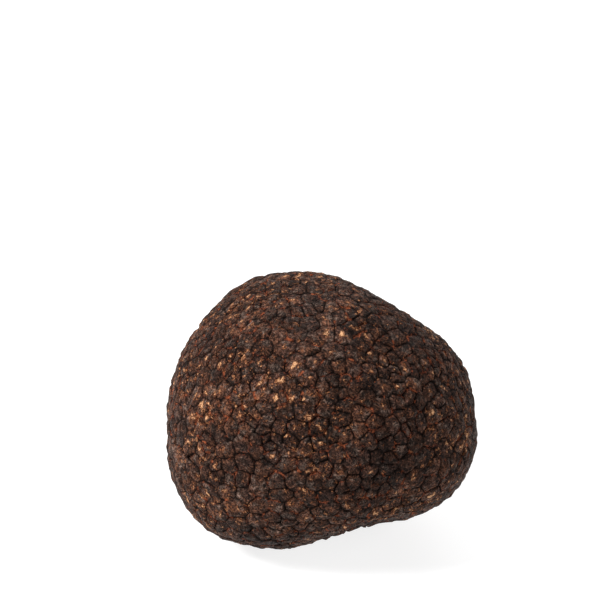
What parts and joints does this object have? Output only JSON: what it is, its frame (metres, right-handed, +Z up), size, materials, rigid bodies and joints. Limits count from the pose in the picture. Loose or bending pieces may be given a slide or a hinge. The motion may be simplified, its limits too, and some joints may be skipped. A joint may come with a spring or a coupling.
{
  "type": "black truffle",
  "caption": "Whole black truffle: a lobed, roughly egg-shaped fruiting body with a warty dark rind, resting on a small flat spot.",
  "frame": {"origin": "on the surface it rests on, level with the flat spot, under the middle of the bounding box", "axes": "+Z up, +X to the right along its longest width, front towards -Y"},
  "size_m": [0.0622, 0.055, 0.0522],
  "materials": {
    "rind": "matte"
  },
  "bodies": {
    "root": {"truffle": "rind"}
  },
  "joints": []
}
